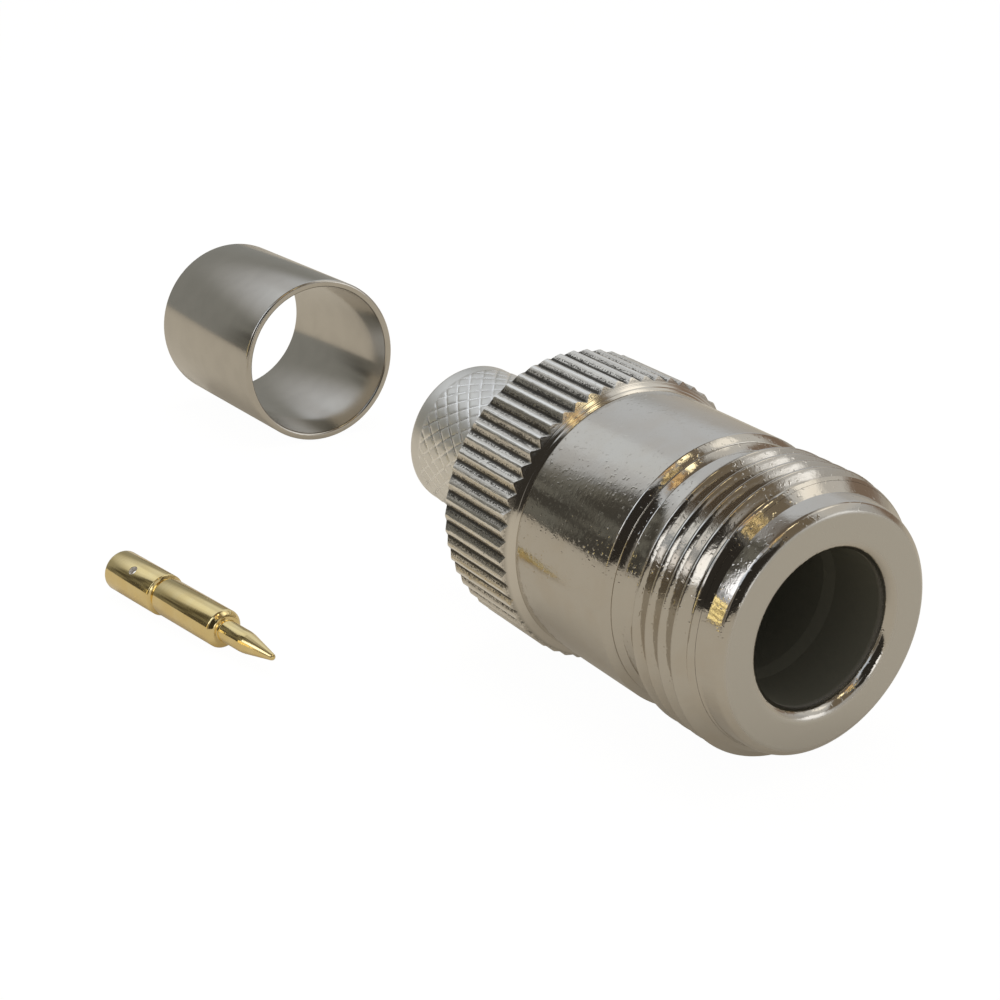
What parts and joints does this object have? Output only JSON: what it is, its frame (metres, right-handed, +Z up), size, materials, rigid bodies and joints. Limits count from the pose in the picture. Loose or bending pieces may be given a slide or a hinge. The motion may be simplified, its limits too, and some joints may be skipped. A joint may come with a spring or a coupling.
{
  "type": "n type connector",
  "caption": "Coaxial cable jack with a threaded coupling end, smooth barrel, toothed grip ring and knurled crimp stem, laid out with its loose crimp ferrule and pin.",
  "frame": {"origin": "on the ground, under the middle of the bounding box of the whole laid-out set", "axes": "+Z up; the connector lies along Y with its coupling end towards -Y, dipped 2.47 degrees; the loose ferrule lies beyond its stem at +Y, and the loose pin lies to its -X side"},
  "size_m": [0.0332, 0.0786, 0.0174],
  "materials": {
    "bright_nickel": "bright nickel plate over brass",
    "satin_nickel": "satin nickel plate over brass",
    "gold_plate": "bright gold plate over brass",
    "white_insulator": "smooth fluoropolymer"
  },
  "bodies": {
    "root": {"connector_body": "bright_nickel", "crimp_stem": "satin_nickel", "insulator_bead": "white_insulator", "centre_pin": "gold_plate", "crimp_ferrule": "satin_nickel"}
  },
  "joints": []
}
